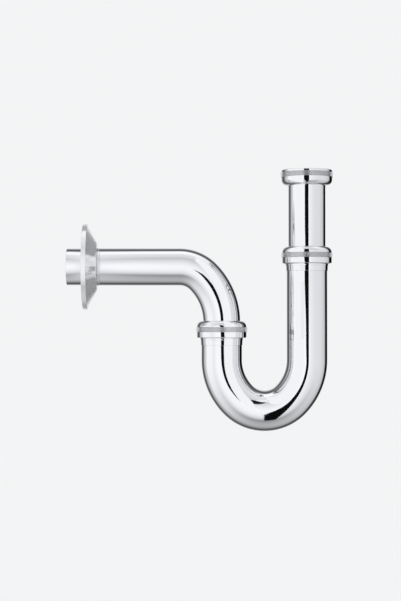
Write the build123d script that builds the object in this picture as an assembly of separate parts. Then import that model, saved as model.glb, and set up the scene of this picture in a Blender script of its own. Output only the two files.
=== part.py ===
from build123d import *
import math
import os

# A chromed brass P-trap for a wash basin, in millimetres. +Z is up. The origin is the centre
# of the union nut's mouth, where the basin waste screws in. Both legs stand in the XZ plane,
# the outlet leg at -X, and the wall tube runs towards -X.

# Tubes. The inlet tube and the outlet bend are the same tube, and both slip into the U-bend.
tube_diameter = 32.0
tube_wall = 1.0
bend_wall = 1.0
slip_gap = 0.5                # between a tube and the bore of the U-bend around it
end_chamfer = 0.25            # deburred tube ends

# Lengths of the tubes
leg_spacing = 73.0            # between the axes of the two legs of the U-bend
inlet_showing = 52.0          # inlet tube between the union nut and the upper slip nut
inlet_engagement = 49.0       # inlet tube below the top of its ferrule
inlet_leg = 91.4              # top of the inlet ferrule to the start of the U-bend
outlet_leg = 27.9             # top of the outlet ferrule to the start of the U-bend
riser_engagement = 21.0       # outlet bend below the top of its ferrule
riser_straight = 4.5          # top of the outlet ferrule to the start of the elbow
elbow_reach = 36.0            # axis of the riser to the straight wall tube
arm_length = 132.5            # axis of the riser to the end of the wall tube

# The bends open wide from each leg and then close on a tighter radius of the centre line.
bend_tight_radius = 31.5      # bottom of the U-bend
bend_wide_angle = 45.0        # turn on the wide radius at each leg of the U-bend
elbow_tight_radius = 28.1     # where the elbow meets the wall tube
elbow_wide_angle = 45.0       # turn on the wide radius above the riser

# The wall tube's end
spigot_length = 12.5          # end of the wall tube that enters the wall pipe's socket
spigot_sizing = 0.2           # how far that end is turned down

# Union nut, open upwards, and the collar and washer in it
union_ledge = 3.475           # thread crest outside the tube: minor diameter of G 1 1/4
union_wall = 2.775            # nut outside its thread crest
union_height = 13.5
union_belt = 7.5              # belt above the nut's flanged end
collar_thickness = 1.5
collar_gap = 0.375            # collar inside the thread crest
washer_thickness = 2.0
washer_gap = 0.275            # washer inside the thread crest
thread_relief = 1.2           # groove round the collar and washer, outside the thread crest

# Slip nuts, open downwards, both alike
slip_nut_wall = 2.65          # nut outside its bore
slip_nut_height = 14.5
slip_nut_belt = 5.4           # belt from the nut's flanged end

# What all three nuts share
nut_flange = 3.0              # inward flange that bears on the collar or the slip ring
flange_hole_gap = 0.4         # flange round the tube
dome_height = 5.2             # rounded shoulder of the nut
dome_land = 0.5               # flat face left round the flange hole
belt_height = 4.0             # knurled belt round the nut, where a hand grips it
belt_proud = 0.35             # belt outside the plain bands beside it
mouth_chamfer = 0.4
edge_break = 0.5              # outer edge of the mouth

# Threaded ferrules, soldered on the two ends of the U-bend
ferrule_wall = 1.5            # thread crest outside the U-bend's tube
thread_length = 8.4
skirt_inset = 0.65            # skirt inside the thread crest
skirt_end = 10.9              # skirt's lower edge below the ferrule's top
ferrule_length = 15.4
ferrule_foot = 0.35           # thickness where the skirt runs out on the tube
foot_step = 0.25              # shoulder under the skirt
solder_gap = 0.05
seat_depth = 4.0              # tapered seat of the gasket
seat_rim = 0.8                # thread crest outside the top of the seat
seat_land = 1.0               # stop for the tube's end under the seat
seat_lip = 0.1                # stop's bore outside the bore of the U-bend

# Cone gaskets and slip rings
gasket_rim = 1.25             # gasket above the ferrule
gasket_rim_gap = 0.1          # rim above the ferrule's top face
gasket_rim_width = 0.5        # rim outside the taper
seat_gap = 0.08               # gasket inside the tapered seat
ring_thickness = 1.2
ring_gap = 0.4                # slip ring inside the nut's bore and round the tube

# Wall flange and its rubber ring
flange_diameter = 73.5
flange_depth = 12.0
flange_rim = 3.9              # straight rim at the wall
flange_sheet = 0.9
flange_hollow = 0.4           # how far the face is dished
flange_standoff = 14.1        # wall tube's end beyond the back of the flange
flange_neck_face = 4.6        # front land round the tube
flange_collar = 5.2           # length of the collar inside the neck
flange_collar_wall = 1.2      # collar outside the ring's groove
flange_tube_gap = 0.4
groove_depth = 1.95           # groove's bottom outside the tube
groove_start = 1.2            # groove behind the front face
grip_gap = 0.05

# Fits
running_fit = 0.1             # radial, between a nut's bore and a ferrule's thread
contact_gap = 0.02            # flat faces that bear on each other

# Diameters that follow
tube_radius = tube_diameter / 2
bend_bore = tube_radius + slip_gap
bend_radius = bend_bore + bend_wall
thread_radius = bend_radius + ferrule_wall
slip_nut_bore = thread_radius + running_fit
slip_nut_radius = slip_nut_bore + slip_nut_wall
union_bore = tube_radius + union_ledge
union_radius = union_bore + union_wall
flange_hole = tube_radius + flange_hole_gap

# Heights that follow
ring_bottom = gasket_rim + contact_gap
ring_top = ring_bottom + ring_thickness
slip_nut_top = ring_top + contact_gap + nut_flange
inlet_ferrule_z = -(union_height + inlet_showing + slip_nut_top)
bend_z = inlet_ferrule_z - inlet_leg
outlet_ferrule_z = bend_z + outlet_leg
elbow_z = outlet_ferrule_z + riser_straight
collar_z = -(union_height - nut_flange) + contact_gap
washer_z = collar_z + collar_thickness
outlet_x = -leg_spacing
arm_end_x = outlet_x - arm_length
spigot_radius = tube_radius - spigot_sizing
flange_back_x = arm_end_x + flange_standoff
tube_stop = seat_depth + seat_land


def turned(outline):
    """A solid of revolution about +Z from an outline drawn as (radius, height)."""
    return revolve(Plane.XZ * make_face(outline), Axis.Z)


def ring(inner, outer, low, high):
    """A plain ring about +Z."""
    return turned(Polyline((inner, low), (outer, low), (outer, high), (inner, high), close=True))


def quarter_bend(reach, tight_radius, wide_angle):
    """The points of a quarter turn that leaves the origin along +Z and ends along -X.

    It turns by wide_angle on a wide radius and by the rest on tight_radius, so that it ends at
    -reach. Returns the middle and end of the wide arc and the middle and end of the tight arc.
    """
    turn = math.radians(wide_angle)
    wide_radius = (reach - tight_radius * math.cos(turn)) / (1 - math.cos(turn))
    wide_centre = Vector(-wide_radius, 0, 0)
    joint = wide_centre + wide_radius * Vector(math.cos(turn), 0, math.sin(turn))
    tight_centre = joint - tight_radius * Vector(math.cos(turn), 0, math.sin(turn))
    half = turn / 2
    wide_middle = wide_centre + wide_radius * Vector(math.cos(half), 0, math.sin(half))
    rest = (turn + math.pi / 2) / 2
    tight_middle = tight_centre + tight_radius * Vector(math.cos(rest), 0, math.sin(rest))
    return wide_middle, joint, tight_middle, tight_centre + Vector(0, 0, tight_radius)


def bent_tube(path, outer, bore):
    """A tube of one section along a path of lines and arcs."""
    section = Plane(origin=path @ 0, z_dir=path % 0) * (Circle(outer) - Circle(bore))
    return sweep(section, path)


def nut(radius, bore, height, belt):
    """A nut with its domed, flanged end at height 0, its belt above that and its mouth up."""
    band = radius - belt_proud
    dome_start = flange_hole + dome_land
    centre = (dome_start, dome_height)
    dome = EllipticalCenterArc(centre, band - dome_start, dome_height, 270, arc_size=90)
    wall = Polyline(
        (band, dome_height),
        (band, belt),
        (radius, belt),
        (radius, belt + belt_height),
        (band, belt + belt_height),
        (band, height - edge_break),
        (band - edge_break, height),
        (bore + mouth_chamfer, height),
        (bore, height - mouth_chamfer),
        (bore, nut_flange),
        (flange_hole, nut_flange),
        (flange_hole, 0),
        (dome_start, 0),
    )
    return turned(dome + wall)


def slip_nut():
    """The nut of a slip joint, mouth down, placed on a ferrule whose top is at height 0."""
    upright = nut(slip_nut_radius, slip_nut_bore, slip_nut_height, slip_nut_belt)
    return Pos(0, 0, slip_nut_top) * Rot(180, 0, 0) * upright


def inlet_union_nut():
    """The nut on the basin waste, with its thread relieved round the collar and the washer."""
    washer_top = washer_z + washer_thickness
    relief = ring(flange_hole, union_bore + thread_relief, nut_flange - union_height, washer_top)
    upright = nut(union_radius, union_bore, union_height, union_belt)
    return Pos(0, 0, -union_height) * upright - relief


def inlet_tube():
    """The straight tube with the collar at its top that the union nut lifts."""
    top = washer_z
    low = inlet_ferrule_z - inlet_engagement
    bore = tube_radius - tube_wall
    collar = union_bore - collar_gap
    outline = Polyline(
        (bore, low + end_chamfer),
        (bore + end_chamfer, low),
        (tube_radius - end_chamfer, low),
        (tube_radius, low + end_chamfer),
        (tube_radius, collar_z),
        (collar, collar_z),
        (collar, top),
        (bore, top),
        close=True,
    )
    return turned(outline)


def inlet_flat_washer():
    return ring(
        tube_radius - tube_wall, union_bore - washer_gap, washer_z, washer_z + washer_thickness
    )


def ferrule():
    """A threaded ring with a tapered seat inside its top, which is at height 0."""
    seat_top = thread_radius - seat_rim
    seat_bottom = bend_bore + seat_lip
    socket = bend_radius + solder_gap
    skirt = thread_radius - skirt_inset
    outline = Polyline(
        (seat_top, 0),
        (thread_radius - skirt_inset, 0),
        (thread_radius, -skirt_inset),
        (thread_radius, -thread_length),
        (skirt, -thread_length - skirt_inset),
        (skirt, -skirt_end),
        (skirt - foot_step, -skirt_end),
        (socket + ferrule_foot, -ferrule_length),
        (socket, -ferrule_length),
        (socket, -tube_stop),
        (seat_bottom, -tube_stop),
        (seat_bottom, -seat_depth),
        close=True,
    )
    return turned(outline)


def cone_gasket():
    """A tapered rubber ring in a seat whose ferrule has its top at height 0."""
    seat_top = thread_radius - seat_rim
    seat_bottom = bend_bore + seat_lip
    rim = seat_top + gasket_rim_width
    bore = tube_radius + seat_gap
    outline = Polyline(
        (bore, -seat_depth + seat_gap),
        (seat_bottom - seat_gap, -seat_depth + seat_gap),
        (seat_top - seat_gap, gasket_rim_gap),
        (rim, gasket_rim_gap),
        (rim, gasket_rim),
        (bore, gasket_rim),
        close=True,
    )
    return turned(outline)


def slip_ring():
    return ring(tube_radius + ring_gap, slip_nut_bore - ring_gap, ring_bottom, ring_top)


def trap_bend():
    """The U-bend: a long leg under the inlet, a half turn, a short leg under the outlet."""
    inlet_top = Vector(0, 0, inlet_ferrule_z - tube_stop)
    inlet_low = Vector(0, 0, bend_z)
    outlet_low = Vector(outlet_x, 0, bend_z)
    outlet_top = Vector(outlet_x, 0, outlet_ferrule_z - tube_stop)
    turn = quarter_bend(leg_spacing / 2, bend_tight_radius, bend_wide_angle)
    down = [inlet_low + Vector(p.X, 0, -p.Z) for p in turn]
    up = [outlet_low + Vector(-p.X, 0, -p.Z) for p in turn]
    path = (
        Line(inlet_top, inlet_low)
        + ThreePointArc(inlet_low, down[0], down[1])
        + ThreePointArc(down[1], down[2], down[3])
        + ThreePointArc(up[3], up[2], up[1])
        + ThreePointArc(up[1], up[0], outlet_low)
        + Line(outlet_low, outlet_top)
    )
    return bent_tube(path, bend_radius, bend_bore)


def outlet_bend():
    """A riser, an elbow and the wall tube, bent from one length, with a sized spigot end."""
    riser_low = Vector(outlet_x, 0, outlet_ferrule_z - riser_engagement)
    riser_top = Vector(outlet_x, 0, elbow_z)
    turn = [riser_top + p for p in elbow_turn]
    arm_end = Vector(arm_end_x, 0, arm_z)
    path = (
        Line(riser_low, riser_top)
        + ThreePointArc(riser_top, turn[0], turn[1])
        + ThreePointArc(turn[1], turn[2], turn[3])
        + Line(turn[3], arm_end)
    )
    tube = bent_tube(path, tube_radius, tube_radius - tube_wall)
    turned_off = ring(spigot_radius, tube_radius + tube_wall, 0, spigot_length)
    tube -= Pos(arm_end_x, 0, arm_z) * Rot(0, 90, 0) * turned_off
    end = tube.faces().sort_by(Axis.X)[0]
    return chamfer(end.edges(), end_chamfer)


def flange_face(inset):
    """The outside of the flange, or its inside at a sheet's inset, as one filled profile."""
    rim = flange_diameter / 2 - inset
    neck = tube_radius + flange_neck_face - inset
    front = flange_depth - inset
    shoulder = flange_rim - inset
    dish = SagittaArc((rim, shoulder), (neck, front), flange_hollow)
    sides = Polyline((neck, front), (0, front), (0, 0), (rim, 0), (rim, shoulder))
    return turned(dish + sides)


def wall_flange():
    """A dished cover, its back at the wall, with a grooved collar inside its neck."""
    collar_low = flange_depth - flange_collar
    collar_outer = tube_radius + groove_depth + flange_collar_wall
    shell = flange_face(0) - flange_face(flange_sheet)
    collar = flange_face(0) & ring(0, collar_outer, collar_low, flange_depth)
    hole = ring(0, tube_radius + flange_tube_gap, 0, flange_depth)
    groove_top = flange_depth - groove_start
    groove = ring(0, tube_radius + groove_depth, groove_top - groove_depth, groove_top)
    return on_arm(shell + collar - hole - groove)


def flange_grip_ring():
    """A round rubber ring in the flange's groove."""
    wire = groove_depth / 2 - grip_gap
    middle = flange_depth - groove_start - groove_depth / 2
    return on_arm(Pos(0, 0, middle) * Torus(tube_radius + groove_depth / 2, wire))


def on_arm(solid):
    """Turns a solid about +Z onto the wall tube, with height 0 at the back of the flange."""
    return Pos(flange_back_x, 0, arm_z) * Rot(0, 90, 0) * solid


def at_inlet(solid):
    return Pos(0, 0, inlet_ferrule_z) * solid


def at_outlet(solid):
    return Pos(outlet_x, 0, outlet_ferrule_z) * solid


elbow_turn = quarter_bend(elbow_reach, elbow_tight_radius, elbow_wide_angle)
arm_z = elbow_z + elbow_turn[3].Z

nodes = {
    "inlet_union_nut": inlet_union_nut(),
    "inlet_flat_washer": inlet_flat_washer(),
    "inlet_tube": inlet_tube(),
    "upper_slip_nut": at_inlet(slip_nut()),
    "upper_slip_ring": at_inlet(slip_ring()),
    "upper_cone_gasket": at_inlet(cone_gasket()),
    "inlet_ferrule": at_inlet(ferrule()),
    "trap_bend": trap_bend(),
    "outlet_ferrule": at_outlet(ferrule()),
    "lower_cone_gasket": at_outlet(cone_gasket()),
    "lower_slip_ring": at_outlet(slip_ring()),
    "lower_slip_nut": at_outlet(slip_nut()),
    "outlet_bend": outlet_bend(),
    "flange_grip_ring": flange_grip_ring(),
    "wall_flange": wall_flange(),
}

os.makedirs("parts", exist_ok=True)
for name, solid in nodes.items():
    export_step(solid, f"parts/{name}.step")
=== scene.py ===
# %% [markdown]
# # A chromed P-trap for a wash basin
# The trap hangs under a basin: water falls down the inlet pipe, stands in the U-bend as a
# seal against smells, and leaves through the elbow and the wall pipe. The measured model is
# loaded first as a frame. Every piece below is modelled where that frame says, and then
# rides on the frame's bodies, so that the joints still work.

# %% Load the frame
import math
import bpy
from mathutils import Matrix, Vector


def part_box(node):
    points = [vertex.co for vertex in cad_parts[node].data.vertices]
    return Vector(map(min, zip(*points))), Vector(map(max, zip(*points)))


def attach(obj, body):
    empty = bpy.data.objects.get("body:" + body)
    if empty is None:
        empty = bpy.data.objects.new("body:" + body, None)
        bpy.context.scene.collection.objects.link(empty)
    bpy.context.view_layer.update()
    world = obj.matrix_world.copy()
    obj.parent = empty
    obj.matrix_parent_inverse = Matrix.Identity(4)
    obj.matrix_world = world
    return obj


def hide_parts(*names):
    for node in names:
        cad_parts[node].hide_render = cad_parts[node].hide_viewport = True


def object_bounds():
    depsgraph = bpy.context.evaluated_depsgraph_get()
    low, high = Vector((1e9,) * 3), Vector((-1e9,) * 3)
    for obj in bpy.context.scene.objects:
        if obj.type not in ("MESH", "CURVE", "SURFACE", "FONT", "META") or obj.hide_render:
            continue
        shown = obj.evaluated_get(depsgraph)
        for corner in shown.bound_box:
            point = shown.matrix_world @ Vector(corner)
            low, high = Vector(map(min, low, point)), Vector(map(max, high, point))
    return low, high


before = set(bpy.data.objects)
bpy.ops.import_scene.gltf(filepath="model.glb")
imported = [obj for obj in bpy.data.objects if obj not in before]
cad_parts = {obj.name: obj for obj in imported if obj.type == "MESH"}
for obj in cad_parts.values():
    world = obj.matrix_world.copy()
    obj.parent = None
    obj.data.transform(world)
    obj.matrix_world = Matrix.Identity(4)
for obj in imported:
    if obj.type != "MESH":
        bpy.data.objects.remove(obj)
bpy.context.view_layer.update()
mm = 0.001

# %% [markdown]
# ## Modelling tools
# Nearly everything on a trap is either turned on a lathe or bent from tube, so two small
# helpers do most of the work. A lathe part starts as a half section, drawn from corner to
# corner by extruding one vertex, which is then spun round its axis. That is closer to how the
# real nut is cut than stacking cylinders would be, and it gives a clean grid of quads.

# %% Leaving edit mode with nothing selected
def put_down():
    if bpy.context.mode != "OBJECT":
        bpy.ops.object.mode_set(mode="OBJECT")
    bpy.ops.object.select_all(action="DESELECT")

def pick_up(piece):
    put_down()
    piece.select_set(True)
    bpy.context.view_layer.objects.active = piece

# %% Turning a section on the lathe
merge_gap = 0.002 * mm

def arc(centre, across, up, start, end, steps):
    turns = [math.radians(start + (end - start) * i / steps) for i in range(steps + 1)]
    return [(centre[0] + across * math.cos(t), centre[1] + up * math.sin(t)) for t in turns]

def draw_outline(name, corners, y=0.0):
    """Draws a closed outline of (x, z) corners in edit mode, by extruding one vertex round it."""
    put_down()
    bpy.ops.mesh.primitive_plane_add(size=mm, location=(0, 0, 0))
    piece = bpy.context.object
    piece.name = name
    bpy.ops.object.mode_set(mode="EDIT")
    bpy.ops.mesh.select_mode(type="VERT")
    bpy.ops.mesh.merge(type="CENTER")
    bpy.ops.transform.translate(value=(corners[0][0], y, corners[0][1]))
    for here, there in zip(corners, corners[1:] + corners[:1]):
        step = (there[0] - here[0], 0, there[1] - here[1])
        bpy.ops.mesh.extrude_region_move(TRANSFORM_OT_translate={"value": step})
    bpy.ops.mesh.select_all(action="SELECT")
    bpy.ops.mesh.remove_doubles(threshold=merge_gap)
    return piece

def turn_on_lathe(name, section, origin, axis="Z", steps=192):
    """Spins a closed section of (radius, height) corners round an axis through origin."""
    x, _, z = origin
    if axis == "Z":
        corners = [(x + r, z + h) for r, h in section]
    else:
        corners = [(x + h, z + r) for r, h in section]
    piece = draw_outline(name, corners)
    direction = (0, 0, 1) if axis == "Z" else (1, 0, 0)
    bpy.ops.mesh.spin(steps=steps, angle=2 * math.pi, center=origin, axis=direction)
    bpy.ops.mesh.select_all(action="SELECT")
    bpy.ops.mesh.remove_doubles(threshold=merge_gap)
    bpy.ops.mesh.normals_make_consistent(inside=False)
    put_down()
    return piece

# %% Modifiers, applied at once
def apply_modifier(piece, kind, **settings):
    pick_up(piece)
    made = piece.modifiers.new(kind.title(), kind)
    for key, value in settings.items():
        setattr(made, key, value)
    bpy.ops.object.modifier_apply(modifier=made.name)

def round_edges(piece, width, segments=3, angle=30):
    apply_modifier(
        piece, "BEVEL", width=width, segments=segments, limit_method="ANGLE",
        angle_limit=math.radians(angle), use_clamp_overlap=True,
    )

def smooth(piece, angle=35):
    pick_up(piece)
    bpy.ops.object.shade_smooth_by_angle(angle=math.radians(angle))
    put_down()

# %% Copies, each with a mesh of its own
def copy_to(piece, name, offset):
    pick_up(piece)
    bpy.ops.object.duplicate(linked=False)
    twin = bpy.context.object
    twin.name = name
    bpy.ops.transform.translate(value=offset)
    bpy.ops.object.transform_apply(location=True, rotation=True, scale=True)
    put_down()
    return twin

# %% [markdown]
# ## Chrome plate
# The tubes and nuts are brass with a polished chrome plate. Chrome has next to no colour of
# its own and is almost a mirror, so nearly all of its look is what it reflects. What tells it
# from a perfect mirror are slow waves left by bending and polishing, which make reflected
# lines wander, fine wiping marks, and dull specks where water has dried. All three are noise
# on Object coordinates at their real sizes, so they stay on the metal from every side.

# %% Helpers for material nodes
def new_material(name, colour, metallic, roughness):
    material = bpy.data.materials.new(name)
    material.use_nodes = True
    shader = material.node_tree.nodes["Principled BSDF"]
    shader.inputs["Base Color"].default_value = (*colour, 1)
    shader.inputs["Metallic"].default_value = metallic
    shader.inputs["Roughness"].default_value = roughness
    return material, shader

def noise(material, scale, stretch=(1, 1, 1), detail=2.0):
    """Noise with this many waves a metre, longer along an axis whose stretch is below 1."""
    tree = material.node_tree
    place = tree.nodes.new("ShaderNodeTexCoord")
    mapping = tree.nodes.new("ShaderNodeMapping")
    mapping.inputs["Scale"].default_value = stretch
    made = tree.nodes.new("ShaderNodeTexNoise")
    made.inputs["Scale"].default_value = scale
    made.inputs["Detail"].default_value = detail
    tree.links.new(place.outputs["Object"], mapping.inputs["Vector"])
    tree.links.new(mapping.outputs["Vector"], made.inputs["Vector"])
    return made.outputs["Fac"]

def remap(material, value, low, high, to_low, to_high):
    tree = material.node_tree
    made = tree.nodes.new("ShaderNodeMapRange")
    ends = ("From Min", "From Max", "To Min", "To Max")
    for key, number in zip(ends, (low, high, to_low, to_high)):
        made.inputs[key].default_value = number
    tree.links.new(value, made.inputs["Value"])
    return made.outputs["Result"]

def relief(material, shader, height, distance, under=None):
    """Adds a bump of this many metres from low to high, on top of another one if given."""
    tree = material.node_tree
    made = tree.nodes.new("ShaderNodeBump")
    made.inputs["Strength"].default_value = 1.0
    made.inputs["Distance"].default_value = distance
    tree.links.new(height, made.inputs["Height"])
    if under is not None:
        tree.links.new(under, made.inputs["Normal"])
    tree.links.new(made.outputs["Normal"], shader.inputs["Normal"])
    return made.outputs["Normal"]

def add(material, one, other):
    tree = material.node_tree
    made = tree.nodes.new("ShaderNodeMath")
    made.operation = "ADD"
    tree.links.new(one, made.inputs[0])
    tree.links.new(other, made.inputs[1])
    return made.outputs[0]

# %% Polished chrome
chrome, shader = new_material("polished_chrome", (0.875, 0.88, 0.905), 1.0, 0.05)
wiping = remap(chrome, noise(chrome, 90, (1, 1, 0.25), 4), 0.35, 0.75, 0.03, 0.085)
specks = remap(chrome, noise(chrome, 1300, detail=1), 0.72, 0.80, 0.0, 0.05)
chrome.node_tree.links.new(add(chrome, wiping, specks), shader.inputs["Roughness"])
waves = relief(chrome, shader, noise(chrome, 38, detail=0), 0.10 * mm)
relief(chrome, shader, noise(chrome, 2600, (1, 1, 0.15), 3), 0.0002 * mm, waves)
print("chrome: slow waves 26 mm apart, wiping marks and dried specks")

# %% [markdown]
# ## Knurled and satin chrome, bare brass, rubber and nylon
# The belts on the nuts are plated too, but their fine teeth scatter light, and grime stays
# in the grooves. The broad face of the flange gets a milkier finish, half metal and half pale,
# which keeps it from mirroring the dark behind. Inside, the tubes and threads show the brass
# itself, dulled to a brown gold. Gaskets are black rubber with a dusty bloom, and slip rings
# are milky nylon.

# %% The other five finishes
belt_chrome, shader = new_material("knurled_chrome", (0.62, 0.625, 0.64), 1.0, 0.3)
grime = remap(belt_chrome, noise(belt_chrome, 420, detail=4), 0.3, 0.7, 0.24, 0.42)
belt_chrome.node_tree.links.new(grime, shader.inputs["Roughness"])
relief(belt_chrome, shader, noise(belt_chrome, 1800, detail=3), 0.01 * mm)

satin, shader = new_material("satin_chrome", (0.86, 0.865, 0.88), 0.55, 0.12)
turning = remap(satin, noise(satin, 300, (6, 1, 1), 4), 0.3, 0.7, 0.09, 0.17)
satin.node_tree.links.new(turning, shader.inputs["Roughness"])
relief(satin, shader, noise(satin, 60, detail=0), 0.02 * mm)

brass, shader = new_material("bare_brass", (0.70, 0.52, 0.27), 1.0, 0.38)
tarnish = remap(brass, noise(brass, 120, detail=5), 0.3, 0.7, 0.26, 0.55)
brass.node_tree.links.new(tarnish, shader.inputs["Roughness"])
relief(brass, shader, noise(brass, 900, detail=4), 0.008 * mm)

rubber, shader = new_material("black_rubber", (0.018, 0.018, 0.019), 0.0, 0.62)
bloom = remap(rubber, noise(rubber, 260, detail=5), 0.3, 0.75, 0.5, 0.78)
rubber.node_tree.links.new(bloom, shader.inputs["Roughness"])
relief(rubber, shader, noise(rubber, 2200, detail=3), 0.02 * mm)

nylon, shader = new_material("white_nylon", (0.80, 0.79, 0.74), 0.0, 0.42)
shader.inputs["Subsurface Weight"].default_value = 0.25
shader.inputs["Subsurface Scale"].default_value = 1.2 * mm
moulding = remap(nylon, noise(nylon, 500, detail=3), 0.3, 0.7, 0.36, 0.5)
nylon.node_tree.links.new(moulding, shader.inputs["Roughness"])
relief(nylon, shader, noise(nylon, 1500, detail=2), 0.006 * mm)
print("finishes:", [m.name for m in (chrome, belt_chrome, satin, brass, rubber, nylon)])

# %% Giving a piece its finishes, its place in the frame and its body
def finish_piece(piece, node, body):
    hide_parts(node)
    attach(piece, body)
    low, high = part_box(node)
    places = [v.co for v in piece.data.vertices]
    proud = max(
        max(low[i] - min(c[i] for c in places), max(c[i] for c in places) - high[i])
        for i in range(3)
    )
    faces = len(piece.data.polygons)
    print(f"{piece.name}: {faces} faces, {proud / mm:+.3f} mm from its node's box")

def paint_where(piece, index, test):
    """Gives the faces whose centre passes a test another of the piece's finishes."""
    for face in piece.data.polygons:
        if test(face.center):
            face.material_index = index

# %% [markdown]
# ## Sizes that the pieces share
# The frame's boxes give where things are. What a box can't tell, such as a wall thickness or
# the height of a belt, is a number here.

# %% Reading places off the frame
tube_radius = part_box("outlet_bend")[1].y
bend_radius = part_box("trap_bend")[1].y
tube_wall, pipe_gap, burr = 1.0 * mm, 0.4 * mm, 0.25 * mm
outlet_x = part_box("trap_bend")[0].x + bend_radius
inlet_ferrule_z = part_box("inlet_ferrule")[1].z
outlet_ferrule_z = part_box("outlet_ferrule")[1].z
arm_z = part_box("wall_flange")[0].z + (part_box("wall_flange")[1].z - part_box("wall_flange")[0].z) / 2
arm_end_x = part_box("outlet_bend")[0].x
pitch = 25.4 / 11 * mm
print("outlet leg at", outlet_x, "wall pipe at height", arm_z)

# %% [markdown]
# ## Bent tubes
# The U-bend and the outlet bend are each one length of thin tube drawn round a former, and the
# inlet pipe is a straight length with a turned collar. A tube could be a curve with a round
# bevel, but modelling it as the bender does gives better control: a circle is extruded down
# the straight leg, spun round the centre of each bend, and extruded again. The bends open wide
# from each leg and close on a tighter radius. Solidify then gives the wall inwards, with brass
# on the inside, and a small bevel takes the burr off the cut ends.

# %% Bending tube
def start_tube(name, radius, place, along="Z"):
    put_down()
    turned = (0, 0, 0) if along == "Z" else (0, math.pi / 2, 0)
    bpy.ops.mesh.primitive_circle_add(
        vertices=128, radius=radius, fill_type="NOTHING", location=place, rotation=turned
    )
    piece = bpy.context.object
    piece.name = name
    bpy.ops.object.transform_apply(location=True, rotation=True, scale=True)
    bpy.ops.object.mode_set(mode="EDIT")
    return piece

def run_tube(x, z):
    bpy.ops.mesh.extrude_region_move(TRANSFORM_OT_translate={"value": (x, 0, z)})

def bend_tube(degrees, centre_x, centre_z, steps=20):
    bpy.ops.mesh.spin(
        steps=steps, angle=math.radians(-degrees), center=(centre_x, 0, centre_z), axis=(0, 1, 0)
    )

def two_radii(reach, tight, wide_angle):
    """The wide radius, the distance between both centres, and the wide arc's angle in radians."""
    turn = math.radians(wide_angle)
    wide = (reach - tight * math.cos(turn)) / (1 - math.cos(turn))
    return wide, wide - tight, turn

def finish_tube(piece):
    bpy.ops.mesh.select_all(action="SELECT")
    bpy.ops.mesh.remove_doubles(threshold=merge_gap)
    bpy.ops.mesh.normals_make_consistent(inside=False)
    put_down()
    piece.data.materials.append(chrome)
    piece.data.materials.append(brass)
    apply_modifier(
        piece, "SOLIDIFY", thickness=tube_wall, offset=-1, use_rim=True,
        use_even_offset=True, material_offset=1, material_offset_rim=0,
    )
    round_edges(piece, burr, angle=60)
    smooth(piece)

# %% The U-bend
turn_z = inlet_ferrule_z - 91.4 * mm
bend_tight, wide_turn = 31.5 * mm, 45
tube_stop = 5.0 * mm
wide, between, turn = two_radii(-outlet_x / 2, bend_tight, wide_turn)
u_bend = start_tube("u_bend_tube", bend_radius, (0, 0, inlet_ferrule_z - tube_stop))
run_tube(0, turn_z - (inlet_ferrule_z - tube_stop))
bend_tube(wide_turn, -wide, turn_z)
deep = turn_z - between * math.sin(turn)
near = -wide + between * math.cos(turn)
bend_tube(180 - 2 * wide_turn, near, deep, steps=40)
bend_tube(wide_turn, outlet_x + wide, turn_z)
run_tube(0, outlet_ferrule_z - tube_stop - turn_z)
finish_tube(u_bend)
finish_piece(u_bend, "trap_bend", "trap_bend")
print("wide radius", wide / mm, "middle of the turn at", near / mm)

# %% The outlet bend, its end sized for the wall pipe
spigot_radius, spigot_length, shoulder = tube_radius - 0.2 * mm, 12.5 * mm, 0.3 * mm
elbow_z = outlet_ferrule_z + 4.5 * mm
elbow_reach, elbow_tight, half_turn = 36.0 * mm, 28.1 * mm, 45
wide, between, turn = two_radii(elbow_reach, elbow_tight, half_turn)
riser_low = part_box("outlet_bend")[0].z
outlet_bend = start_tube("outlet_bend_tube", tube_radius, (outlet_x, 0, riser_low))
run_tube(0, elbow_z - riser_low)
bend_tube(-half_turn, outlet_x - wide, elbow_z)
tight_x, tight_z = outlet_x - wide + between * math.cos(turn), elbow_z + between * math.sin(turn)
bend_tube(-half_turn, tight_x, tight_z)
arm_start = outlet_x - elbow_reach
run_tube(arm_end_x + spigot_length + shoulder - arm_start, 0)
run_tube(-shoulder, 0)
share = spigot_radius / tube_radius
bpy.ops.transform.resize(value=(1, share, share), center_override=(arm_end_x, 0, arm_z))
run_tube(-spigot_length, 0)
finish_tube(outlet_bend)
finish_piece(outlet_bend, "outlet_bend", "outlet_bend")

# %% [markdown]
# ## The inlet pipe
# The collar at its top is turned from the same brass and is what the union nut lifts against
# the washer. A half section of wall and collar spun once makes both as one piece.

# %% Inlet pipe with its collar
bore = tube_radius - tube_wall
pipe_low, pipe_top = (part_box("inlet_tube")[i].z for i in (0, 1))
collar_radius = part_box("inlet_tube")[1].x
collar_low = pipe_top - 1.5 * mm
section = [
    (bore, pipe_low), (tube_radius, pipe_low), (tube_radius, collar_low),
    (collar_radius, collar_low), (collar_radius, pipe_top), (bore, pipe_top),
]
inlet_pipe = turn_on_lathe("inlet_pipe", section, (0, 0, 0), steps=128)
round_edges(inlet_pipe, burr)
inlet_pipe.data.materials.append(chrome)
inlet_pipe.data.materials.append(brass)
paint_where(
    inlet_pipe, 1,
    lambda c: math.hypot(c.x, c.y) < bore + 0.1 * mm or c.z > pipe_top - 0.05 * mm,
)
smooth(inlet_pipe)
finish_piece(inlet_pipe, "inlet_tube", "inlet_tube")

# %% [markdown]
# ## Threads
# A thread is one tooth wound round the axis while it climbs. The Screw modifier does just
# that to a small closed outline: each turn lifts it by one pitch, 11 threads to the inch on
# all of these fittings. The ends are closed and pressed into the wall, as a cutter leaves
# them where it runs out.

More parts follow.
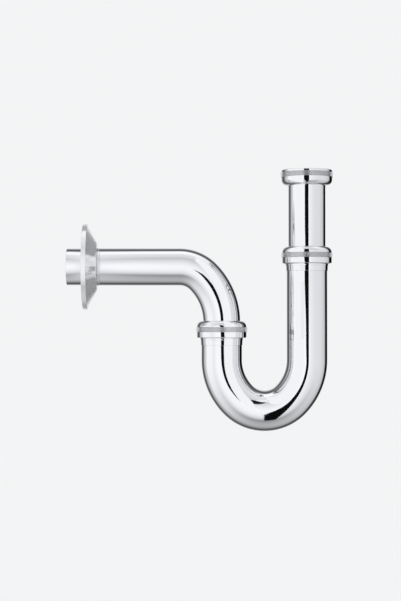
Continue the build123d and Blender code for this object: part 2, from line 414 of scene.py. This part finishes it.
# %% Winding a thread
def wind_thread(name, root, crest, low, turns):
    """A ridge from the root radius to the crest radius, starting at a height and climbing."""
    foot, tip = 0.40 * pitch, 0.12 * pitch
    ridge = draw_outline(name, [(root, -foot), (crest, -tip), (crest, tip), (root, foot)])
    put_down()
    apply_modifier(
        ridge, "SCREW", angle=2 * math.pi, screw_offset=pitch, iterations=turns,
        steps=72, render_steps=72,
    )
    pick_up(ridge)
    bpy.ops.object.mode_set(mode="EDIT")
    bpy.ops.mesh.select_mode(type="VERT")
    bpy.ops.mesh.select_all(action="SELECT")
    bpy.ops.mesh.fill_holes(sides=4)
    last = len(ridge.data.vertices) - 1
    for ends, height in ((range(4), 0.0), (range(last - 3, last + 1), turns * pitch)):
        bpy.ops.mesh.select_all(action="DESELECT")
        bpy.ops.object.mode_set(mode="OBJECT")
        for i in ends:
            ridge.data.vertices[i].select = True
        bpy.ops.object.mode_set(mode="EDIT")
        sunk = (root / crest, root / crest, 0.3)
        bpy.ops.transform.resize(value=sunk, center_override=(0, 0, height))
    bpy.ops.mesh.select_all(action="SELECT")
    bpy.ops.mesh.normals_make_consistent(inside=False)
    bpy.ops.transform.translate(value=(0, 0, low))
    put_down()
    return ridge

def join_to(piece, *others):
    put_down()
    for other in others:
        other.select_set(True)
    piece.select_set(True)
    bpy.context.view_layer.objects.active = piece
    bpy.ops.object.join()
    put_down()
    return piece

# %% [markdown]
# ## Nuts
# All three nuts are the same idea: an open mouth with a thread, a flange at the other end
# that pulls on the pipe, a rounded shoulder, and a belt of fine straight teeth for the
# fingers. The body is turned first. Then every second face round the belt is inset and
# pushed in, which cuts the gaps between the teeth in one go.

# %% Turning a nut
hole = tube_radius + pipe_gap
belt_proud, belt_height = 0.35 * mm, 4.0 * mm
dome_height, dome_land, nut_flange = 5.2 * mm, 0.5 * mm, 3.0 * mm

def nut_section(radius, bore, height, belt):
    """Half section of a nut, its flanged end at height 0 and its mouth up."""
    band, start, soft = radius - belt_proud, hole + dome_land, 0.15 * mm
    belt_top, notch, slope = belt + belt_height, 0.12 * mm, 0.25 * mm
    lip_radius, chamfer = 0.6 * mm, 0.4 * mm
    dome = arc((start, dome_height), band - start, dome_height, 270, 360, 14)
    lip = arc((band - lip_radius, height - lip_radius), lip_radius, lip_radius, 0, 90, 5)
    return dome + [
        (band, belt - slope), (band - notch, belt - notch), (band - notch, belt),
        (radius - soft, belt), (radius, belt + soft),
        (radius, belt_top - soft), (radius - soft, belt_top),
        (band - notch, belt_top), (band - notch, belt_top + notch), (band, belt_top + slope),
    ] + lip + [
        (bore + chamfer, height), (bore, height - chamfer), (bore, nut_flange),
        (hole + soft, nut_flange), (hole, nut_flange - soft), (hole, soft), (hole + soft, 0),
    ]

def flip(section):
    return [(r, -h) for r, h in section]

tooth_border, tooth_depth = 0.10 * mm, 0.22 * mm
belt_face = 1.2 * mm * mm

def cut_teeth(nut, origin, radius, steps):
    """Pushes in every second face of the belt."""
    pick_up(nut)
    pick = 0
    for face in nut.data.polygons:
        c = face.center
        turn = math.atan2(c.y, c.x - origin[0]) / (2 * math.pi) * steps
        outermost = math.hypot(c.x - origin[0], c.y) > radius - 0.02 * mm
        face.select = face.area > belt_face and outermost and math.floor(turn) % 2 == 0
        pick += face.select
    for edge in nut.data.edges:
        edge.select = False
    for vertex in nut.data.vertices:
        vertex.select = False
    bpy.ops.object.mode_set(mode="EDIT")
    bpy.ops.mesh.select_mode(type="FACE")
    bpy.ops.mesh.inset(thickness=tooth_border, depth=-tooth_depth, use_individual=True)
    put_down()
    print(nut.name, "has", pick, "teeth")

def make_nut(name, node, radius, bore, belt, origin, mouth_up, thread):
    low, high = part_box(node)
    section = nut_section(radius, bore, high.z - low.z, belt)
    end = low.z if mouth_up else high.z
    section = [(r, h + end) for r, h in (section if mouth_up else flip(section))]
    steps = 240
    nut = turn_on_lathe(name, section, origin, steps=steps)
    nut.data.materials.append(chrome)
    nut.data.materials.append(belt_chrome)
    nut.data.materials.append(brass)
    cut_teeth(nut, origin, radius, steps)
    for face in nut.data.polygons:
        c = face.center
        r = math.hypot(c.x - origin[0], c.y)
        if r > radius - belt_proud + 0.03 * mm:
            face.material_index = 1
    join_to(nut, thread)
    for face in nut.data.polygons:
        c = face.center
        r = math.hypot(c.x - origin[0], c.y)
        inside = nut_flange - 0.01 * mm < abs(c.z - end) < high.z - low.z - 0.6 * mm
        if inside and r < bore + 0.1 * mm:
            face.material_index = 2
    smooth(nut)
    return nut

# %% The union nut
union_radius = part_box("inlet_union_nut")[1].x
minor, major = 19.475 * mm, 20.675 * mm
washer_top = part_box("inlet_flat_washer")[1].z
thread = wind_thread("union_thread", major, minor, washer_top + 0.55 * pitch, 2)
union_nut = make_nut(
    "union_nut", "inlet_union_nut", union_radius, major, 7.5 * mm, (0, 0, 0), True, thread
)
finish_piece(union_nut, "inlet_union_nut", "inlet_union_nut")

# %% The slip nuts, one modelled and one copied
slip_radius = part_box("upper_slip_nut")[1].x
slip_bore, slip_root = 19.1 * mm, 19.85 * mm
nut_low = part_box("upper_slip_nut")[0].z
thread = wind_thread("slip_thread", slip_root, slip_bore, nut_low + 0.6 * pitch, 3)
upper_nut = make_nut(
    "slip_nut_upper", "upper_slip_nut", slip_radius, slip_root, 5.4 * mm, (0, 0, 0), False, thread
)
to_outlet = (outlet_x, 0, outlet_ferrule_z - inlet_ferrule_z)
lower_nut = copy_to(upper_nut, "slip_nut_lower", to_outlet)
finish_piece(upper_nut, "upper_slip_nut", "upper_slip_nut")
finish_piece(lower_nut, "lower_slip_nut", "lower_slip_nut")

# %% [markdown]
# ## Ferrules
# A threaded ring is soldered on each end of the U-bend. Its skirt tapers out on the tube,
# which hides the solder. The nut covers the thread until it is backed off.

# %% Ferrule with its thread, and a copy
thread_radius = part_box("inlet_ferrule")[1].x
root = thread_radius - 0.75 * mm
skirt = thread_radius - 0.65 * mm
seat_top, seat_bottom = thread_radius - 0.8 * mm, tube_radius + 0.6 * mm
socket = bend_radius + 0.05 * mm
section = [
    (seat_top, 0), (root - 0.02 * mm, 0), (root, -0.1 * mm), (root, -8.6 * mm), (skirt, -9.0 * mm),
    (skirt, -10.7 * mm), (skirt - 0.1 * mm, -10.9 * mm), (skirt - 0.25 * mm, -10.9 * mm),
    (socket + 0.35 * mm, -15.3 * mm), (socket + 0.25 * mm, -15.4 * mm), (socket, -15.4 * mm),
    (socket, -tube_stop), (seat_bottom, -tube_stop), (seat_bottom, -4.0 * mm),
]
section = [(r, h + inlet_ferrule_z) for r, h in section]
ferrule = turn_on_lathe("threaded_ferrule_inlet", section, (0, 0, 0))
ferrule.data.materials.append(chrome)
ferrule.data.materials.append(brass)
thread = wind_thread("ferrule_thread", root, thread_radius, inlet_ferrule_z - 8.0 * mm, 3)
join_to(ferrule, thread)
thread_depth = 8.8 * mm
paint_where(ferrule, 1, lambda c: c.z > inlet_ferrule_z - thread_depth)
smooth(ferrule)
outlet_ferrule = copy_to(ferrule, "threaded_ferrule_outlet", to_outlet)
finish_piece(ferrule, "inlet_ferrule", "trap_bend")
finish_piece(outlet_ferrule, "outlet_ferrule", "trap_bend")

# %% [markdown]
# ## Washer, gaskets and slip rings
# The soft parts are turned as well: a flat washer in the union, a cone-shaped gasket and a
# nylon slip ring in each slip joint, and a round rubber ring in the flange. Only their rims
# show when a nut is backed off, but each has its own section and soft corners.

# %% Flat washer
def turn_soft(name, node, section, origin, body, finish, corner):
    piece = turn_on_lathe(name, section, origin, steps=128)
    round_edges(piece, corner)
    piece.data.materials.append(finish)
    smooth(piece)
    finish_piece(piece, node, body)
    return piece

low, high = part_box("inlet_flat_washer")
section = [(bore, low.z), (high.x, low.z), (high.x, high.z), (bore, high.z)]
turn_soft(
    "flat_washer", "inlet_flat_washer", section, (0, 0, 0), "inlet_tube",
    rubber, 0.2 * mm,
)

# %% Cone gaskets and slip rings at both joints
for joint, x, top in (("upper", 0.0, inlet_ferrule_z), ("lower", outlet_x, outlet_ferrule_z)):
    slack, rise, thick = 0.08 * mm, 0.1 * mm, 1.25 * mm
    inner, rim, nose = tube_radius + slack, seat_top + 0.5 * mm, -3.92 * mm
    section = [
        (inner, nose), (seat_bottom - slack, nose), (seat_top - slack, rise),
        (rim, rise), (rim, thick), (inner, thick),
    ]
    section = [(r, h + top) for r, h in section]
    node = joint + "_cone_gasket"
    turn_soft(
        "cone_gasket_" + joint, node, section, (x, 0, 0), node, rubber, 0.15 * mm
    )
    node = joint + "_slip_ring"
    low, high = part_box(node)
    inner, outer = tube_radius + pipe_gap, (high.x - low.x) / 2
    section = [(inner, low.z), (outer, low.z), (outer, high.z), (inner, high.z)]
    turn_soft(
        "slip_ring_" + joint, node, section, (x, 0, 0), node, nylon, 0.25 * mm
    )

# %% [markdown]
# ## Wall flange
# The flange hides the rough hole in the wall. It is one sheet of brass spun over a former:
# a rolled rim, a hollow dished face, and a neck that turns in round the pipe, where a rubber
# ring grips. The section follows the sheet out along the face and back along the inside.

# %% Flange and grip ring
flange_low, flange_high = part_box("wall_flange")
rim = (flange_high.z - flange_low.z) / 2
depth = flange_high.x - flange_low.x
sheet = 0.9 * mm
rim_depth, neck_land, hollow = 3.9 * mm, 4.6 * mm, 0.4 * mm

def dish(inset, steps=18):
    """The hollow face from rim to neck, or its inside at a sheet's inset."""
    a = (rim - inset, rim_depth - inset)
    b = (tube_radius + neck_land - inset, depth - inset)
    run = (b[0] - a[0], b[1] - a[1])
    long = math.hypot(*run)
    out = (run[1] / long, -run[0] / long)
    points = []
    for i in range(steps + 1):
        t = i / steps
        bow = -hollow * 4 * t * (1 - t)
        points.append((a[0] + t * run[0] + bow * out[0], a[1] + t * run[1] + bow * out[1]))
    return points

face, inside = dish(0), dish(sheet)
collar_outer, groove = tube_radius + 3.15 * mm, tube_radius + 1.95 * mm
hole_radius = tube_radius + pipe_gap
groove_high = depth - 1.2 * mm
groove_low = groove_high - 1.95 * mm
collar_end, roll = depth - 5.2 * mm, 0.25 * mm
section = (
    [(rim - roll, 0), (rim, roll)]
    + face
    + [(hole_radius, depth), (hole_radius, groove_high)]
    + [(groove, groove_high), (groove, groove_low)]
    + [(hole_radius, groove_low), (hole_radius, collar_end), (collar_outer, collar_end)]
    + [p for p in reversed(inside) if p[0] > collar_outer + 0.2 * mm]
    + [(rim - sheet, roll), (rim - sheet + roll, 0)]
)
flange = turn_on_lathe("dished_wall_flange", section, (flange_low.x, 0, arm_z), axis="X", steps=256)
round_edges(flange, 0.45 * mm, segments=4, angle=40)
flange.data.materials.append(satin)
flange.data.materials.append(brass)
smooth(flange, 40)
finish_piece(flange, "wall_flange", "wall_flange")

low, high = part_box("flange_grip_ring")
wire, middle = (high.x - low.x) / 2, (high.x + low.x) / 2
section = arc((high.z - arm_z - wire, 0), wire, wire, 0, 345, 23)
grip = turn_on_lathe("grip_ring", section, (middle, 0, arm_z), axis="X", steps=128)
grip.data.materials.append(rubber)
smooth(grip, 60)
finish_piece(grip, "flange_grip_ring", "flange_grip_ring")

# %% [markdown]
# ## Floor, light and what the chrome reflects
# Chrome is drawn by its surroundings. The room is a soft white tent, and what tints it are
# the places where a tent is never even: a dark gap all round behind, and greyer cloth to the
# right and below. Each tube reads the tent from the side it faces to the side it turns
# away, so the tent is described the same way: four soft ramps, to the right, left, up and
# down, from straight in front (0) round to straight behind (180 degrees). Only reflections see
# them; plain surfaces are lit by an even white.

# %% Room
scene = bpy.context.scene
scene.view_settings.view_transform = "Standard"
room = bpy.data.worlds.new("white_tent")
room.use_nodes = True
scene.world = room
tree = room.node_tree

def calculate(kind, one, other=None):
    made = tree.nodes.new("ShaderNodeMath")
    made.operation = kind
    for socket, value in zip(made.inputs, (one, other)):
        if isinstance(value, (int, float)):
            socket.default_value = value
        elif value is not None:
            tree.links.new(value, socket)
    return made.outputs[0]

towards = tree.nodes.new("ShaderNodeTexCoord").outputs["Generated"]
parts = tree.nodes.new("ShaderNodeSeparateXYZ")
tree.links.new(towards, parts.inputs[0])
x, y, z = parts.outputs
from_front = calculate("DIVIDE", calculate("ARCCOSINE", calculate("MULTIPLY", y, -1)), math.pi)

def tent_side(stops):
    """Brightness against the angle from straight in front, as (degrees, light) stops."""
    made = tree.nodes.new("ShaderNodeValToRGB")
    ramp = made.color_ramp
    while len(ramp.elements) < len(stops):
        ramp.elements.new(0.5)
    for element, (angle, light) in zip(ramp.elements, stops):
        element.position = angle / 180
        element.color = (light, light, light, 1)
    tree.links.new(from_front, made.inputs["Fac"])
    return made.outputs["Color"]

# %% The four sides
right = tent_side([
    (0, 0.95), (10, 0.97), (16, 0.84), (42, 0.75), (80, 0.71), (104, 0.60), (116, 0.42),
    (120, 0.05), (124, 0.0), (150, 0.0), (155, 0.3), (164, 0.92), (180, 0.85),
])
left = tent_side([
    (0, 0.93), (26, 0.96), (38, 0.87), (50, 0.83), (62, 0.92), (92, 0.93), (103, 0.66),
    (113, 0.50), (120, 0.44), (126, 0.10), (149, 0.10), (157, 0.60), (180, 0.85),
])
up = tent_side([
    (0, 0.92), (14, 0.87), (32, 0.75), (46, 0.61), (53, 0.54), (62, 0.66), (84, 0.79),
    (88, 0.97), (107, 0.99), (112, 0.26), (120, 0.08), (134, 0.12), (143, 0.4), (160, 0.72),
    (180, 0.85),
])
down = tent_side([
    (0, 0.93), (20, 0.90), (36, 0.76), (46, 0.56), (56, 0.27), (61, 0.30), (72, 0.39),
    (92, 0.44), (102, 0.38), (113, 0.28), (122, 0.10), (144, 0.10), (153, 0.5), (180, 0.85),
])

# %% Blending the sides by direction
def either(one, other, switch):
    """The first colour where the switch is above 0, or else the other."""
    made = tree.nodes.new("ShaderNodeMixRGB")
    tree.links.new(calculate("GREATER_THAN", switch, 0.0), made.inputs["Fac"])
    tree.links.new(other, made.inputs["Color1"])
    tree.links.new(one, made.inputs["Color2"])
    return made.outputs["Color"]

across = calculate("MULTIPLY", x, x)
upright = calculate("MULTIPLY", z, z)
share = calculate("DIVIDE", across, calculate("ADD", calculate("ADD", across, upright), 1e-6))
blend = tree.nodes.new("ShaderNodeMixRGB")
tree.links.new(share, blend.inputs["Fac"])
tree.links.new(either(up, down, z), blend.inputs["Color1"])
tree.links.new(either(right, left, x), blend.inputs["Color2"])
tint = tree.nodes.new("ShaderNodeMixRGB")
tint.blend_type = "MULTIPLY"
tint.inputs["Fac"].default_value = 1.0
tint.inputs["Color2"].default_value = (0.985, 0.993, 1.0, 1)
tree.links.new(blend.outputs["Color"], tint.inputs["Color1"])
tent = tree.nodes["Background"]
tree.links.new(tint.outputs["Color"], tent.inputs["Color"])
tent.inputs["Strength"].default_value = 1.14

# %% What sees the tent, and what only an even white
def even_light(colour):
    made = tree.nodes.new("ShaderNodeBackground")
    made.inputs["Color"].default_value = (*colour, 1)
    return made.outputs["Background"]

def where(ray, one, other):
    """One shader for this kind of ray, the other for the rest."""
    made = tree.nodes.new("ShaderNodeMixShader")
    tree.links.new(seen.outputs[ray], made.inputs["Fac"])
    tree.links.new(other, made.inputs[1])
    tree.links.new(one, made.inputs[2])
    return made.outputs["Shader"]

seen = tree.nodes.new("ShaderNodeLightPath")
lit = where("Is Glossy Ray", tent.outputs["Background"], even_light((0.975, 0.98, 1.0)))
shown = where("Is Camera Ray", even_light((0.90, 0.903, 0.912)), lit)
tree.links.new(shown, tree.nodes["World Output"].inputs["Surface"])

# %% Floor
low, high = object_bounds()
floor_z = low.z - 0.30
put_down()
bpy.ops.mesh.primitive_plane_add(size=30, location=(0, 0, floor_z))
floor = bpy.context.object
floor.name = "floor"
pale, shader = new_material("pale_floor", (0.922, 0.922, 0.912), 0.0, 0.9)
shader.inputs["Specular IOR Level"].default_value = 0.0
floor.data.materials.append(pale)
floor.visible_glossy = False
print("floor at", floor_z)

# %% [markdown]
# The dark streak down the middle of each tube comes from two narrow black cards that stand
# upright just in front of it, a usual way to give polished metal an edge. The card before the
# elbow starts in a point, and the one before the long leg is cut on a slant where the U turns.

# %% Black cards
def card(name, outline, y, light=0.004):
    """An upright card from its (x, height) corners in millimetres."""
    made = draw_outline(name, [(x * mm, z * mm) for x, z in outline], y * mm)
    bpy.ops.mesh.edge_face_add()
    put_down()
    material = bpy.data.materials.new(name + "_paint")
    material.use_nodes = True
    nodes = material.node_tree.nodes
    glow = nodes.new("ShaderNodeEmission")
    glow.inputs["Color"].default_value = (light, light, light, 1)
    surface = nodes["Material Output"].inputs["Surface"]
    material.node_tree.links.new(glow.outputs["Emission"], surface)
    made.data.materials.append(material)
    made.visible_camera = made.visible_diffuse = False
    made.visible_shadow = made.visible_transmission = False
    return made

card_y = -120
card("elbow_card", [
    (-100, -85), (-80, -76), (-62, -84), (-54, -120), (-50, -150), (-46, -178), (-49, -197),
    (-68, -190), (-82, -160), (-84, -135), (-92, -108),
], card_y)
card("long_leg_card", [
    (-34, 60), (-34, -70), (-20, -120), (-18, -150), (-12, -180), (-20, -200), (-26, -220),
    (-34, -250), (-34, -360), (12, -360), (12, 60),
], card_y)
print("two cards stand", -card_y, "mm in front of the tubes' middles")

# %% [markdown]
# A white board on edge between the two cards keeps each leg from seeing the other one's, and a
# white patch hides the long card from the inside of the U's turn.

# %% White divider and patch
divider_left, divider_right, divider_depth = -44.2, -43.8, 94
divider = card("white_divider", [
    (divider_left, 60), (divider_left, -205), (divider_right, -205), (divider_right, 60),
], card_y, 1.02)
pick_up(divider)
bpy.ops.object.mode_set(mode="EDIT")
bpy.ops.mesh.select_all(action="SELECT")
bpy.ops.mesh.extrude_region_move(TRANSFORM_OT_translate={"value": (0, divider_depth * mm, 0)})
put_down()
patch_y = -60
card("white_patch", [(-43, -142), (-43, -84), (-17, -84), (-17, -142)], patch_y, 0.95)

# %% [markdown]
# ## Camera
# A long lens from straight in front, a little below the middle, keeps the tubes parallel and
# shows a trace of the nuts' undersides.

# %% Camera
camera_data = bpy.data.cameras.new("camera")
camera_data.lens = 93
camera_data.sensor_width = 36
camera = bpy.data.objects.new("camera", camera_data)
scene.collection.objects.link(camera)
camera_x, camera_z, distance, aim_z = -0.0912, -0.131, 1.33, -0.1116
camera.location = (camera_x, -distance, camera_z)
camera.rotation_euler = (math.pi / 2 + math.atan((aim_z - camera_z) / distance), 0, 0)
scene.camera = camera
